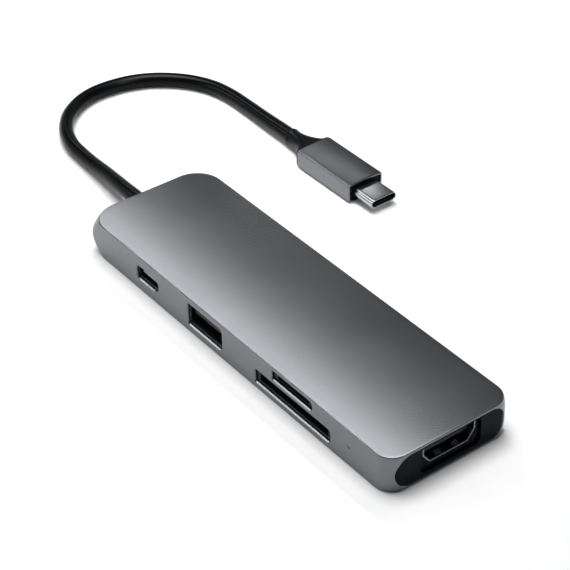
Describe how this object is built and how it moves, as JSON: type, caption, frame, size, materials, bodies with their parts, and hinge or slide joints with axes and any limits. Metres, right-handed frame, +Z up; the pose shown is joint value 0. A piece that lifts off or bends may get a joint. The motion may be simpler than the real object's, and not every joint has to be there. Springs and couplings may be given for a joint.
{
  "type": "usb hub",
  "caption": "Slim aluminium port hub with side and end sockets, card slots, a light, and a short captive cable with a plug.",
  "frame": {"origin": "middle of the hub's underside, without its cable", "axes": "+X along the hub from the cable end to the video socket, -Y towards the card slots and side sockets, +Z up"},
  "size_m": [0.1769, 0.0735, 0.0098],
  "materials": {
    "anodised_aluminium": "fine bead-blasted, dark grey anodised",
    "cap_plastic": "moulded, satin to gloss",
    "frame_plastic": "moulded, matte",
    "board_laminate": "solder mask over glass laminate",
    "screw_steel": "zinc plated",
    "socket_steel": "stamped and nickel plated",
    "socket_insulator": "moulded, matte",
    "tongue_plate": "steel core with a moulded tongue",
    "gold_contacts": "gold plated",
    "clear_light_pipe": "clear moulded",
    "led_resin": "clear resin over a white package",
    "chip_epoxy": "moulded epoxy",
    "shield_steel": "stamped tinplate",
    "thermal_silicone": "soft silicone sheet",
    "ceramic": "fired ceramic with tinned ends",
    "ferrite": "pressed ferrite",
    "cable_jacket": "extruded, satin",
    "moulded_boot": "moulded, satin",
    "wire_insulation": "extruded",
    "crimp_metal": "crimped",
    "plug_steel": "deep drawn, bright nickel plated"
  },
  "bodies": {
    "hub": {"housing": "anodised_aluminium", "video_end_cap": "cap_plastic", "cable_end_cap": "cap_plastic", "inner_tray": "frame_plastic", "main_board": "board_laminate", "board_screws": "screw_steel", "video_shell": "socket_steel", "video_tongue": "socket_insulator", "video_contacts": "gold_contacts", "usb_a_shell": "socket_steel", "usb_a_tongue": "socket_insulator", "usb_a_contacts": "gold_contacts", "usb_c_shell": "socket_steel", "usb_c_tongue": "tongue_plate", "usb_c_contacts": "gold_contacts", "wide_slot_base": "socket_insulator", "wide_slot_cover": "socket_steel", "wide_slot_contacts": "gold_contacts", "small_slot_base": "socket_insulator", "small_slot_cover": "socket_steel", "small_slot_contacts": "gold_contacts", "card_spring": "screw_steel", "light_pipe": "clear_light_pipe", "status_led": "led_resin", "hub_chip": "chip_epoxy", "video_chip": "chip_epoxy", "card_chip": "chip_epoxy", "power_chip": "chip_epoxy", "shield_can": "shield_steel", "thermal_pad": "thermal_silicone", "crystal": "shield_steel", "power_inductors": "ferrite", "capacitors": "ceramic", "cable_grommet": "moulded_boot", "cable_tail": "cable_jacket", "cable_clamp": "crimp_metal", "cable_wires": "wire_insulation", "cable": "cable_jacket", "plug_boot": "moulded_boot", "plug_cable_end": "cable_jacket", "plug_shell": "anodised_aluminium", "plug_front_plate": "cap_plastic", "plug_tongue_shell": "plug_steel", "plug_tongue_core": "socket_insulator", "plug_board": "board_laminate"},
    "carriage": {"card_sled": "frame_plastic"}
  },
  "joints": [
    {"name": "card_push", "type": "slide", "parent": "hub", "child": "carriage", "axis": [0, 1, 0], "range_m": [0, 0.0012], "stiffness_N_per_m": 150, "deforming": ["card_spring"]}
  ]
}
